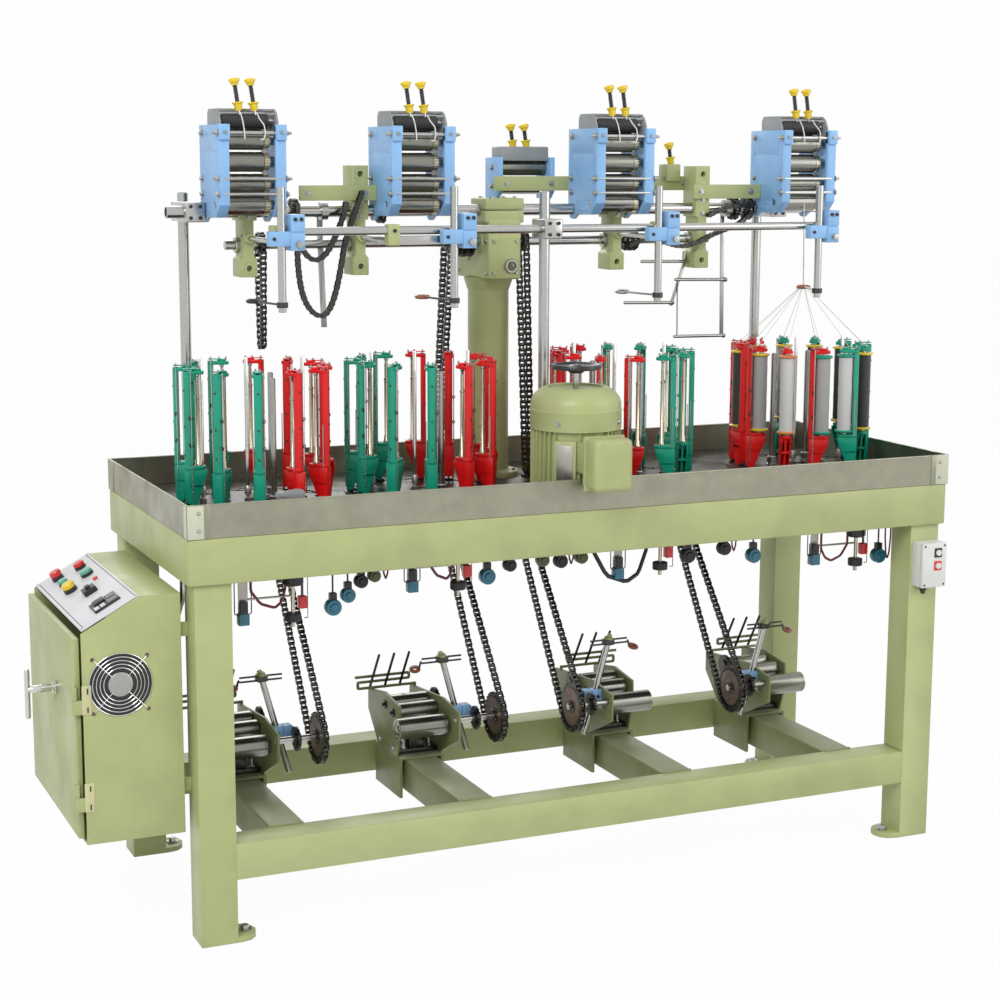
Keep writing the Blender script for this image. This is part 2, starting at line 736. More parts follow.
def build_heads():
    """A band of carriers for each colour and head; each carrier leads or trails by its own angle."""
    bare = carrier_solid(False)
    full = carrier_solid(True)
    floor = TRACK_TOP + SEAT
    for head, x in enumerate(HEAD_X):
        for colour, look, side, leads in (("green", CARRIER_GREEN, GREEN_SIDE[head], GREEN_LEADS),
                                          ("red", CARRIER_RED, -GREEN_SIDE[head], RED_LEADS)):
            middle = 0.0 if side > 0 else 180.0
            start, end = middle - CARRIER_SPREAD, middle + CARRIER_SPREAD
            steps = 10
            band = arc((x, HEAD_Y), BAND_OUTER, start - BAND_MARGIN, end + BAND_MARGIN, steps)
            band += arc((x, HEAD_Y), BAND_INNER, end + BAND_MARGIN, start - BAND_MARGIN, steps)
            pieces = [flat(band, RING_THICKNESS, "XY", floor)]
            for number, lead in enumerate(leads):
                angle = math.radians(start + (end - start) * number / (len(leads) - 1))
                place = Matrix.Translation((x + CARRIER_RING * math.cos(angle),
                                            HEAD_Y + CARRIER_RING * math.sin(angle), floor + CARRIER_LIFT))
                turn = Matrix.Rotation(angle + math.pi / 2 + math.radians(lead), 4, "Z")
                pieces.append(copy_of(full if head == BOBBIN_HEAD else bare, place @ turn))
            finish(join(pieces), f"head_{head + 1}_{colour}_carriers", look)
    for pattern in (bare, full):
        bpy.data.objects.remove(pattern, do_unlink=True)


def motor_fin(angle, core, low, high):
    """One upright cooling fin, rooted in the motor's round body."""
    way = Vector((math.cos(angle), math.sin(angle), 0))
    across = Vector((-way.y, way.x, 0)) * FIN_WIDTH / 2
    centre = Vector((MOTOR_X, MOTOR_Y, 0))
    root = centre + way * (core - SINK)
    tip = centre + way * (MOTOR_RADIUS - FIN_INSET)
    outline = [root - across, tip - across, tip + across, root + across]
    return flat([(p.x, p.y) for p in outline], high - low, "XY", low)


def build_motor():
    """The upright motor: finned body, domed fan cowl, terminal box and handwheel."""
    low = DECK_TOP + SEAT
    x, y = MOTOR_X, MOTOR_Y
    top = low + MOTOR_HEIGHT
    cowl = top - MOTOR_COWL_HEIGHT
    core = MOTOR_RADIUS - FIN_DEPTH
    pieces = [rod((x, y, low), (x, y, cowl + SINK), core, MOTOR_SIDES)]
    for number in range(MOTOR_FINS):
        angle = math.radians(360 * (number + 0.5) / MOTOR_FINS)
        pieces.append(motor_fin(angle, core, low + MOTOR_FLANGE, cowl + SINK))
    shoulder = top - COWL_SHOULDER
    pieces.append(rod((x, y, cowl), (x, y, shoulder + SINK / 4), MOTOR_RADIUS, MOTOR_SIDES))
    pieces.append(rod((x, y, shoulder), (x, y, top), MOTOR_RADIUS, MOTOR_SIDES, MOTOR_RADIUS - COWL_TAPER))
    pieces.append(rod((x, y, top - SINK), (x, y, top + HANDWHEEL_LIFT - SEAT), SHAFT_RADIUS, 8))
    neck_bottom = DECK_BOTTOM + TRAY_HEIGHT + SINK + NECK_LIFT
    pieces.append(box((x - NECK_WIDTH / 2, TERMINAL_FRONT + NECK_INSET, neck_bottom),
                      (x + NECK_WIDTH / 2, y - NECK_INSET, neck_bottom + NECK_HEIGHT)))
    lid_low = TABLE_HEIGHT + TERMINAL_LIFT
    lid = box((x - TERMINAL_WIDTH / 2, TERMINAL_FRONT, lid_low),
              (x + TERMINAL_WIDTH / 2, -SEAT * 3, lid_low + TERMINAL_HEIGHT))
    bevel = lid.modifiers.new("round", "BEVEL")
    bevel.width = TERMINAL_ROUNDING
    bevel.segments = 2
    pieces.append(combine(lid, [], "UNION"))
    finish(join(pieces), "motor", FRAME_GREEN)

    hub = top + HANDWHEEL_LIFT
    rim_low = hub + HUB_HEIGHT
    rim_top = rim_low + HANDWHEEL_HEIGHT
    wheel = [rod((x, y, rim_low), (x, y, rim_top), HANDWHEEL_RADIUS, 16),
             rod((x, y, hub), (x, y, rim_low + SINK), HUB_RADIUS, 8, HUB_FLARE)]
    dish = rod((x, y, rim_top - HANDWHEEL_DISH), (x, y, rim_top + SINK), HANDWHEEL_RADIUS - HANDWHEEL_RIM, 16)
    finish(cut(join(wheel), [dish]), "motor_handwheel", CHAIN_BLACK, origin=(x, y, hub))


def build_column():
    """The round column with the gearbox on it and the cap that holds the support tube."""
    low = DECK_TOP + SEAT
    x, y = COLUMN_X, COLUMN_Y
    half, depth = GEARBOX_WIDTH / 2, GEARBOX_DEPTH / 2
    flange_top = low + COLUMN_FLANGE_HEIGHT
    glass_z = GEARBOX_BOTTOM + GLASS_LIFT
    cap_z = GEARBOX_BOTTOM + GEARBOX_HEIGHT
    pieces = [rod((x, y, low), (x, y, flange_top), COLUMN_RADIUS + COLUMN_FLANGE, 14),
              rod((x, y, flange_top - SINK), (x, y, GEARBOX_BOTTOM + SINK), COLUMN_RADIUS, 16),
              box((x - half, y - depth, GEARBOX_BOTTOM), (x + half, y + depth, cap_z)),
              rod((x, y, GEARBOX_BOTTOM - COLUMN_FLARE_HEIGHT), (x, y, GEARBOX_BOTTOM + SINK),
                  COLUMN_RADIUS + SINK, 16, COLUMN_RADIUS + COLUMN_FLARE),
              box((x - half - CAP_SIDE, SUPPORT_Y - CAP_FRONT, cap_z - CAP_SUNK),
                  (x + half + CAP_SIDE, SUPPORT_Y + CAP_BACK, SUPPORT_Z + SUPPORT_RADIUS + CAP_WALL)),
              rod((x + GLASS_X, y - depth + SINK, glass_z), (x + GLASS_X, y - depth - GLASS_DEPTH, glass_z),
                  GLASS_RADIUS, 12)]
    through = GEARBOX_WIDTH
    bores = []
    for bore_y, bore_z, radius in ((SUPPORT_Y, SUPPORT_Z, SUPPORT_RADIUS), (SHAFT_Y, SHAFT_Z, DRIVE_RADIUS)):
        bores.append(rod((x - through, bore_y, bore_z), (x + through, bore_y, bore_z),
                         radius + SEAT * 2, ROUND))
    finish(cut(join(pieces), bores), "column_and_gearbox", FRAME_GREEN)


def pole(name, x, y, top, tube_y, tube_z, tube_radius):
    """An upright steel pole with its foot collar and the clamp that holds a tube."""
    low = DECK_TOP + SEAT
    collar_top = low + POLE_COLLAR_HEIGHT
    clamp_low = tube_z - CLAMP_HEIGHT / 2
    front = min(tube_y - tube_radius, y - POLE_RADIUS) - CLAMP_WALL
    back = max(tube_y + tube_radius, y + POLE_RADIUS) + CLAMP_WALL
    half = POLE_RADIUS + CLAMP_WALL
    pieces = [rod((x, y, low), (x, y, collar_top), POLE_RADIUS + POLE_COLLAR, ROUND),
              rod((x, y, collar_top - SINK), (x, y, top), POLE_RADIUS, ROUND),
              box((x - half, front, clamp_low), (x + half, back, clamp_low + CLAMP_HEIGHT))]
    through = half * 2
    bore = rod((x - through, tube_y, tube_z), (x + through, tube_y, tube_z), tube_radius + SEAT * 2, ROUND)
    finish(cut(join(pieces), [bore]), name, STEEL)


def build_poles():
    pole("left_pole", LEFT_POLE_X, POLE_Y, SUPPORT_Z + POLE_RISE, SUPPORT_Y, SUPPORT_Z, SUPPORT_RADIUS)
    pole("right_pole", RIGHT_POLE_X, POLE_Y, SUPPORT_Z + RIGHT_POLE_RISE, SUPPORT_Y, SUPPORT_Z,
         SUPPORT_RADIUS)
    pole("middle_pole", MIDDLE_POLE_X, GUIDE_Y + POLE_RADIUS + GUIDE_RADIUS + MIDDLE_POLE_GAP,
         SUPPORT_Z + MIDDLE_POLE_RISE, GUIDE_Y, GUIDE_Z, GUIDE_RADIUS)


def hanger(x, tall):
    """A casting that grips the support tube and the drive shaft below it."""
    y_low = SUPPORT_Y - HANGER_DEPTH / 2
    y_high = SHAFT_Y + HANGER_DEPTH / 2
    top = HANGER_TOP + HANGER_TALL_RISE if tall else HANGER_TOP
    half = HANGER_WIDTH / 2
    neck = HANGER_BOTTOM + HANGER_WIDTH
    waist = half - HANGER_WAIST
    outline = [(x - half, HANGER_BOTTOM), (x + half, HANGER_BOTTOM), (x + half, neck),
               (x + waist, neck + HANGER_WAIST), (x + waist, SUPPORT_Z - half), (x + half, SUPPORT_Z - half),
               (x + half, top), (x - half, top)]
    holes = [circle((x, HANGER_BOTTOM + half), HANGER_HOLE, 6)]
    if tall:
        holes.append(circle((x, top - half), HANGER_HOLE, 6))
    body = flat(outline, y_high - y_low, "XZ", y_low, holes)
    through = HANGER_WIDTH
    bore = rod((x - through, SHAFT_Y, SHAFT_Z), (x + through, SHAFT_Y, SHAFT_Z),
               DRIVE_RADIUS + SEAT * 2, ROUND)
    return cut(body, [bore])


def knob_screw(foot, length):
    """A leaning screw with a round knob at its tip and a knurled nut at its foot."""
    tip = foot + Vector((-KNOB_LEAN * length, 0.0, length))
    nut = foot + (tip - foot) * KNOB_NUT_SHARE
    up = Vector((0, 0, KNOB_HALF))
    return [rod(foot, tip, KNOB_STEM, 4),
            rod(tip - up, tip + up, KNOB_RADIUS, 6),
            rod(nut - up, nut + up, KNOB_RADIUS + KNOB_NUT_STEP, 6)]


def build_support_tube():
    """The long tube with its hangers, the flat bars bolted to them and a knob block."""
    left = LEFT_POLE_X - SUPPORT_OVERHANG
    right = HEAD_X[3] + UNIT_WIDTH / 2 - UNIT_PLATE
    pieces = [rod((left, SUPPORT_Y, SUPPORT_Z), (right, SUPPORT_Y, SUPPORT_Z), SUPPORT_RADIUS, ROUND)]
    for number, x in enumerate(HANGER_X):
        pieces.append(hanger(x, number in TALL_HANGERS))
    bar_y = SUPPORT_Y - HANGER_DEPTH / 2 - FLAT_BAR_THICKNESS + WELD_STEP
    bar_z = SUPPORT_Z + FLAT_BAR_LIFT
    for hanger_number, reach in zip(TALL_HANGERS, FLAT_BAR_REACHES):
        pieces.append(box((HANGER_X[hanger_number] - reach, bar_y, bar_z - FLAT_BAR_HEIGHT / 2),
                          (HEAD_X[hanger_number] - UNIT_WIDTH / 2 - SEAT, bar_y + FLAT_BAR_THICKNESS,
                           bar_z + FLAT_BAR_HEIGHT / 2)))
    back = SHAFT_Y + HANGER_DEPTH / 2
    bar_top = bar_z + FLAT_BAR_HEIGHT / 2 + BACK_BAR_LIFT
    pieces.append(box((BACK_BAR_LEFT, back - WELD_STEP, bar_top - FLAT_BAR_HEIGHT),
                      (HANGER_X[3] + HANGER_WIDTH / 2 - SINK, back + FLAT_BAR_THICKNESS, bar_top)))
    knob_x = HANGER_X[3] - KNOB_BLOCK_OFFSET
    pieces.append(box((knob_x - KNOB_BLOCK_WIDTH / 2, back - KNOB_BLOCK_FRONT, bar_top - KNOB_BLOCK_DROP),
                      (knob_x + KNOB_BLOCK_WIDTH / 2, back + KNOB_BLOCK_BACK, bar_top + KNOB_BLOCK_RISE)))
    knob_foot = Vector((knob_x + KNOB_FORWARD, back + KNOB_HALF, bar_top + KNOB_BLOCK_RISE - SINK))
    pieces += knob_screw(knob_foot, SUPPORT_KNOB_LENGTH)
    finish(join(pieces), "support_tube_and_hangers", FRAME_GREEN)


def guide_clamp(x, rod_offset):
    """The split clamp of one head on the front bar, its upright rod and its braid eye."""
    rod_x = x + rod_offset
    rod_y = GUIDE_Y - GUIDE_ROD_FORWARD
    clamp = box((rod_x - GUIDE_CLAMP_LEFT, rod_y - GUIDE_CLAMP_WALL, GUIDE_Z - GUIDE_CLAMP_DROP),
                (rod_x + GUIDE_CLAMP_RIGHT, GUIDE_Y + GUIDE_CLAMP_RISE, GUIDE_Z + GUIDE_CLAMP_RISE))
    upright = rod((rod_x, rod_y, EYE_Z - GUIDE_ROD_TAIL), (rod_x, rod_y, GUIDE_Z + GUIDE_ROD_RISE),
                  GUIDE_ROD_RADIUS, 6)
    foot = Vector((rod_x, rod_y, EYE_Z))
    eye = Vector((x, HEAD_Y, EYE_Z))
    inside = (eye - foot).normalized() * (EYE_RADIUS - SINK)
    half = Vector((0, 0, EYE_THICKNESS / 2))
    return [clamp, upright, rod(foot, eye - inside, EYE_ARM_RADIUS, 4),
            rod(eye - half, eye + half, EYE_RADIUS, 8)]


def build_guide_bar():
    """The front bar with its four clamps and the braces back to the hangers."""
    left, right = HEAD_X[0] + GUIDE_LEFT_OFFSET, HEAD_X[3] - GUIDE_RIGHT_OFFSET
    pieces = [rod((left, GUIDE_Y, GUIDE_Z), (right, GUIDE_Y, GUIDE_Z), GUIDE_RADIUS, 8)]
    for x, rod_offset in zip(HEAD_X, GUIDE_ROD_OFFSETS):
        pieces += guide_clamp(x, rod_offset)
    reach = SUPPORT_Y - HANGER_DEPTH / 2 - SEAT
    brace_z = GUIDE_Z - BRACE_DROP
    for hanger_x in HANGER_X[:3]:
        pieces.append(rod((hanger_x, GUIDE_Y - BRACE_NOSE, brace_z), (hanger_x, reach, brace_z),
                          BRACE_RADIUS, 6))
    pieces.append(box((HANGER_X[1] - LUG_WIDTH / 2, GUIDE_Y - LUG_WIDTH / 2, brace_z - LUG_HEIGHT / 2),
                      (HEAD_X[1] + LUG_WIDTH / 2, GUIDE_Y + LUG_WIDTH / 2, brace_z + LUG_HEIGHT / 2)))
    finish(join(pieces), "guide_bar_and_eyes", STEEL)


def chain_band(x, low, low_radius, high, high_radius):
    """A chain round two sprockets in a YZ plane: low and high are their (Y, Z) centres."""
    low = Vector(low)
    high = Vector(high)
    way = high - low
    lean = math.degrees(math.atan2(way.y, way.x))
    spread = math.degrees(math.acos((low_radius - high_radius) / way.length))

    def ring(extra):
        outline = arc(low, low_radius + extra, lean + spread, lean + 360 - spread, 7)
        return outline + arc(high, high_radius + extra, lean - spread, lean + spread, 4)

    return flat(ring(CHAIN_THICKNESS), CHAIN_WIDTH, "YZ", x - CHAIN_WIDTH / 2, (ring(0.0),))


def build_drive_shaft():
    """The shaft under the hangers with three gear discs and three hanging chains."""
    left = HANGER_X[0] - DRIVE_LEFT
    right = HANGER_X[3] + DRIVE_RIGHT
    pieces = [rod((left, SHAFT_Y, SHAFT_Z), (right, SHAFT_Y, SHAFT_Z), DRIVE_RADIUS, ROUND)]
    gear_x = COLUMN_X - GEARBOX_WIDTH / 2
    for offset in GEAR_DISC_OFFSETS:
        disc_x = gear_x - offset
        pieces.append(rod((disc_x, SHAFT_Y, SHAFT_Z), (disc_x + GEAR_DISC_WIDTH, SHAFT_Y, SHAFT_Z),
                          GEAR_DISC_RADIUS, 10))
    floor = TRACK_TOP + HANGING_LIFT
    feet = (SHAFT_Z - FREE_CHAIN_LENGTH, floor, floor)
    for x, foot_y, foot_z, foot_radius in zip(HANGING_X, HANGING_Y, feet, HANGING_FOOT_RADIUS):
        half = SPROCKET_WIDTH / 2
        axis = (SHAFT_Y, SHAFT_Z)
        pieces.append(chain_band(x, (SHAFT_Y + foot_y, foot_z), foot_radius, axis, HANGING_RADIUS))
        pieces.append(rod((x - half, *axis), (x + half, *axis), HANGING_SPROCKET, 8))
    finish(join(pieces), "drive_shaft_and_chains", DARK_STEEL)


def unit_plate(x_low, inner_sign):
    """A cast side plate with its ear round the support tube, front flange and top block."""
    ear = arc((SUPPORT_Y, SUPPORT_Z), UNIT_COLLAR, -90, 0, 3)
    outline = [(UNIT_FRONT, UNIT_BOTTOM + UNIT_CHAMFER), (UNIT_FRONT + UNIT_CHAMFER, UNIT_BOTTOM),
               (SUPPORT_Y - UNIT_COLLAR, UNIT_BOTTOM), *ear, (SUPPORT_Y + UNIT_COLLAR, UNIT_TOP),
               (UNIT_FRONT, UNIT_TOP)]
    holes = (hole((SUPPORT_Y, SUPPORT_Z), SUPPORT_RADIUS, SEAT),
             hole((ROLLER_Y, ROLLER_LOWEST), JOURNAL_RADIUS, SEAT, 8))
    plate = flat(outline, UNIT_PLATE, "YZ", x_low, holes)
    half = UNIT_FLANGE / 2
    step = UNIT_BLOCK_STEP
    inner = x_low + UNIT_PLATE / 2 - inner_sign * (half - step)
    flange = box((inner - half, UNIT_FRONT - step, UNIT_BOTTOM + UNIT_CHAMFER + UNIT_FLANGE_LIFT),
                 (inner + half, UNIT_FRONT + UNIT_FLANGE_DEPTH, UNIT_TOP - step))
    block = box((inner - half - step, UNIT_FRONT - UNIT_BLOCK_FRONT, UNIT_TOP - UNIT_BLOCK_HEIGHT),
                (inner + half + step, UNIT_FRONT + UNIT_BLOCK_BACK, UNIT_TOP + step))
    return [plate, flange, block]


def roller_solid(x, z):
    """A roller that spans the gap between a unit's side plates."""
    half = UNIT_WIDTH / 2 - UNIT_PLATE / 2
    return rod((x - half, ROLLER_Y, z), (x + half, ROLLER_Y, z), ROLLER_RADIUS, ROUND)


def takeup_frame(x):
    """Side plates, tie rods, three idle rollers and the pressure block on top."""
    left = x - UNIT_WIDTH / 2
    right = x + UNIT_WIDTH / 2
    pieces = unit_plate(left, -1) + unit_plate(right - UNIT_PLATE, 1)
    rod_y = UNIT_FRONT + TIE_ROD_SUNK
    for drop in TIE_ROD_DROPS:
        z = UNIT_TOP - drop
        pieces.append(rod((left - TIE_ROD_REACH, rod_y, z), (right + TIE_ROD_REACH, rod_y, z),
                          TIE_ROD_RADIUS, 4))
    for level in range(1, ROLLER_COUNT):
        pieces.append(roller_solid(x, ROLLER_LOWEST + level * ROLLER_PITCH))
    roof_low = UNIT_TOP - ROOF_DROP
    roof_top = roof_low + ROOF_HEIGHT
    pieces.append(box((left + UNIT_PLATE - SINK, ROLLER_Y - ROOF_FRONT, roof_low),
                      (right - UNIT_PLATE + SINK, SUPPORT_Y - ROOF_BACK, roof_top)))
    for side in (-1, 1):
        foot = Vector((x + side * KNOB_SPACING / 2, ROLLER_Y - KNOB_FORWARD, roof_top - KNOB_SUNK))
        pieces += knob_screw(foot, KNOB_LENGTH)
    return join(pieces)


def build_takeup_units():
    for number, x in enumerate(HEAD_X, 1):
        finish(takeup_frame(x), f"takeup_{number}_frame", BLUE)
        axis = (ROLLER_Y, ROLLER_LOWEST)
        half = UNIT_WIDTH / 2 - WELD_STEP
        roller_half = UNIT_WIDTH / 2 - UNIT_PLATE - ROLLER_END_GAP
        pieces = [rod((x - half, *axis), (x + half, *axis), JOURNAL_RADIUS, 8),
                  rod((x - roller_half, *axis), (x + roller_half, *axis), ROLLER_RADIUS, ROUND)]
        finish(join(pieces), f"takeup_{number}_bottom_roller", STEEL, origin=(x, *axis))


def letoff_plate(x_low, front, back, foot_z, holes):
    """One side plate of a let-off unit, standing on the saddle."""
    tail = back + LETOFF_TAIL
    outline = [(front, RAIL_TOP + LETOFF_NOSE_LOW), (front, SPROCKET_Z + LETOFF_NOSE),
               (front + LETOFF_PEAK_BACK, RAIL_TOP + LETOFF_PEAK), (tail, RAIL_TOP + LETOFF_TAIL_HIGH),
               (tail, RAIL_TOP + LETOFF_TAIL_LOW), (back - LETOFF_INSET, foot_z),
               (SADDLE_FRONT + LETOFF_INSET, foot_z)]
    return flat(outline, LETOFF_PLATE, "YZ", x_low, holes)


def eye_post(plate_x, side):
    """The leaning post in its clamp, with the arm and the eye that lead the yarn."""
    y = SADDLE_FRONT - POST_FORWARD
    clamp_x = plate_x + side * POST_CLAMP_X
    ends = (plate_x - side * POST_CLAMP_SUNK, clamp_x + side * POST_CLAMP_REACH)
    clamp_z = RAIL_TOP + POST_CLAMP_LIFT
    clamp = box((min(ends), y - POST_CLAMP_DEPTH / 2, clamp_z),
                (max(ends), y + POST_CLAMP_DEPTH / 2, clamp_z + POST_CLAMP_SIZE))
    foot = Vector((clamp_x + side * POST_OUT, y, RAIL_TOP + POST_LOW))
    top = Vector((foot.x - side * POST_LEAN, y, RAIL_TOP + POST_HIGH))
    arm = Vector((top.x + side * EYE_WIRE_RADIUS, y, RAIL_TOP + ARM_LIFT))
    disc = arm - Vector((side * EYE_DISC_OUT, 0, EYE_DISC_DROP))
    out = Vector((side * ARM_OUT, 0, 0))
    inward = Vector((side * ARM_IN, 0, 0))
    rise = Vector((0, 0, EYE_DISC_THICKNESS))
    return [clamp, rod(foot, top, POST_RADIUS, 6), rod(arm + out, arm - inward, ARM_RADIUS, 4),
            rod(disc, disc + rise, EYE_DISC_RADIUS, 6),
            rod(arm - inward + out * EYE_WIRE_SHARE, disc + out * EYE_WIRE_SHARE + rise / 2,
                EYE_WIRE_RADIUS, 4)]


def comb(x, plate_x, side):
    """The comb of three prongs behind the rollers and the bar that holds it."""
    y = SADDLE_FRONT + SADDLE_LENGTH + COMB_BACK
    z = RAIL_TOP + COMB_LIFT
    foot_x = plate_x - side * LETOFF_PLATE / 2
    pieces = [rod((x - COMB_HALF, y, z), (x + COMB_HALF, y, z), ARM_RADIUS, 4),
              rod((foot_x, y, RAIL_TOP + COMB_FOOT_LIFT), (foot_x, y, z), ARM_RADIUS, 4)]
    for number in (-1, 0, 1):
        prong_x = x + number * COMB_PRONG_SPACING
        pieces.append(rod((prong_x, y, z - SINK), (prong_x, y - COMB_BACK, z + COMB_PRONG_HEIGHT),
                          COMB_PRONG_RADIUS, 4))
    return pieces


def letoff_stand(x, side):
    """Saddle over the cross beam, two side plates, rear rollers, comb and eye post."""
    half = BEAM_WIDTH / 2 + SEAT
    wall = half + SADDLE_SHEET
    low, high = SADDLE_FRONT, SADDLE_FRONT + SADDLE_LENGTH
    top = RAIL_TOP + SEAT
    roof = top + SADDLE_SHEET
    hem = top - SADDLE_DROP
    saddle = [(x - wall, hem), (x - half, hem), (x - half, top), (x + half, top), (x + half, hem),
              (x + wall, hem), (x + wall, roof), (x - wall, roof)]
    pieces = [flat(saddle, SADDLE_LENGTH, "XZ", low)]
    inside = LETOFF_GAP / 2
    for sign in (-1, 1):
        plate_low = x + sign * (inside + LETOFF_PLATE / 2) - LETOFF_PLATE / 2
        if sign == side:
            holes = (hole((FRONT_ROLLER_Y, FRONT_ROLLER_Z), JOURNAL_RADIUS, SEAT, 8),
                     hole((SPROCKET_Y, SPROCKET_Z), CHAIN_SHAFT_RADIUS, SEAT, 8))
            pieces.append(letoff_plate(plate_low, SPROCKET_Y - LETOFF_NOSE, high, roof - WELD_STEP, holes))
        else:
            pieces.append(letoff_plate(plate_low, low, high, roof - WELD_STEP, ()))
    pieces.append(box((x - inside - SADDLE_BLOCK_REACH, low + SADDLE_BLOCK_INSET, roof - WELD_STEP),
                      (x + inside + SADDLE_BLOCK_REACH, high - SADDLE_BLOCK_INSET, roof + SADDLE_BLOCK)))
    for back, lift in zip(LETOFF_ROLLER_BACKS, LETOFF_ROLLER_LIFTS):
        y, z = low + back, RAIL_TOP + lift
        pieces.append(rod((x - inside - SINK, y, z), (x + inside + SINK, y, z), LETOFF_ROLLER_RADIUS, 8))
    plate_x = x + side * (inside + LETOFF_PLATE)
    return join(pieces + eye_post(plate_x, side) + comb(x, plate_x, side))


def build_chain_drive(number, beam_x, side):
    """The sprocket shaft of a let-off unit and its chain up to the shaft under the deck."""
    wall = beam_x + side * LETOFF_GAP / 2
    x = beam_x + side * SPROCKET_OFFSET
    half = SPROCKET_WIDTH / 2
    low = (SPROCKET_Y, SPROCKET_Z)
    high = (TOP_SPROCKET_Y, TOP_SPROCKET_Z)
    pieces = [rod((wall, *low), (x + side * SPROCKET_SHAFT_TIP, *low), CHAIN_SHAFT_RADIUS, 8),
              rod((x - half, *low), (x + half, *low), SPROCKET_RADIUS, 12),
              chain_band(x, low, SPROCKET_RADIUS - CHAIN_SUNK, high, TOP_SPROCKET_RADIUS - CHAIN_SUNK),
              rod((x - half, *high), (x + half, *high), TOP_SPROCKET_RADIUS, 8),
              rod((x - TOP_SHAFT_HALF, *high), (x + TOP_SHAFT_HALF, *high), CHAIN_SHAFT_RADIUS, 6)]
    for end in (-1, 1):
        middle = x + end * TOP_BRACKET_OFFSET
        reach = Vector((TOP_BRACKET / 2, TOP_BRACKET_DEPTH / 2, 0))
        foot = Vector((middle, TOP_SPROCKET_Y, TOP_SPROCKET_Z - TOP_BRACKET_DROP))
        head = Vector((middle, TOP_SPROCKET_Y, DECK_BOTTOM - SEAT))
        pieces.append(box(foot - reach, head + reach))
    finish(join(pieces), f"letoff_{number}_chain_drive", CHAIN_BLACK)


def build_letoff_units():
    for number, (x, side) in enumerate(zip(BEAM_X, LETOFF_SIDE), 1):
        finish(letoff_stand(x, side), f"letoff_{number}_stand", FRAME_GREEN)
        build_chain_drive(number, x, side)
        wall = x + side * LETOFF_GAP / 2
        near = wall - side * ROLLER_END_GAP
        far = near - side * FRONT_ROLLER_LENGTH
        axis = (FRONT_ROLLER_Y, FRONT_ROLLER_Z)
        journal = (wall + side * (LETOFF_PLATE - FRONT_JOURNAL_STEP), far - side * FRONT_JOURNAL_TIP)
        roller = join([rod((near, *axis), (far, *axis), FRONT_ROLLER_RADIUS, 12),
                       rod((journal[0], *axis), (journal[1], *axis), JOURNAL_RADIUS, 8)])
        finish(roller, f"letoff_{number}_front_roller", STEEL, origin=(x, *axis))


def cabinet_body(slope_low, slope_high):
    """The folded sheet box, open to the left where the door closes it."""
    right = CABINET_RIGHT
    low, high = CABINET_BOTTOM, CABINET_BOTTOM + CABINET_HEIGHT
    sheet = CABINET_SHEET
    knee = high - PANEL_DROP
    outline = [(slope_low, low), (right, low), (right, high), (slope_high, high), (slope_low, knee)]
    floor, roof, open_side = low + sheet, high - sheet, CABINET_LEFT - CABINET_OVERCUT
    inside = [(open_side, floor), (right - sheet, floor), (right - sheet, roof), (slope_high, roof),
              (open_side, knee - sheet - CABINET_SLOPE_INSET)]
    return cut(flat(outline, CABINET_DEPTH, "XZ", CABINET_FRONT),
               [flat(inside, CABINET_DEPTH - 2 * sheet, "XZ", CABINET_FRONT + sheet)])


def build_cabinet():
    left, right = CABINET_LEFT, CABINET_RIGHT
    front, back = CABINET_FRONT, CABINET_FRONT + CABINET_DEPTH
    low, high = CABINET_BOTTOM, CABINET_BOTTOM + CABINET_HEIGHT
    slope_low = left + DOOR_THICKNESS + SEAT
    slope_high = right - CABINET_FLAT_TOP
    pieces = [cabinet_body(slope_low, slope_high)]
    lug_y = FRONT_LEG_Y[0] + CABINET_LUG_BACK
    for lift in CABINET_LUG_LIFTS:
        lug_low = low + lift - CABINET_LUG_HEIGHT / 2
        pieces.append(box((right - SINK, lug_y, lug_low),
                          (-LEG_OUTER - SEAT, lug_y + CABINET_LUG_SHEET, lug_low + CABINET_LUG_HEIGHT)))
    hinge_x, hinge_y = left - HINGE_STAND, front + HINGE_RADIUS
    for z in HINGE_Z:
        high_end = z - HINGE_LENGTH / 2 - SEAT
        low_end = high_end - HINGE_LENGTH
        pieces.append(rod((hinge_x, hinge_y, low_end), (hinge_x, hinge_y, high_end), HINGE_RADIUS, 8))
        pieces.append(box((hinge_x, front + SEAT, low_end), (slope_low + SINK, hinge_y - SEAT, high_end)))
    finish(join(pieces), "cabinet", FRAME_GREEN)

    build_door(left, front, back, low + DOOR_MARGIN, high - PANEL_DROP - DOOR_MARGIN)
    build_panel(slope_low, slope_high, front, back, high)
    build_fan_guard(front)


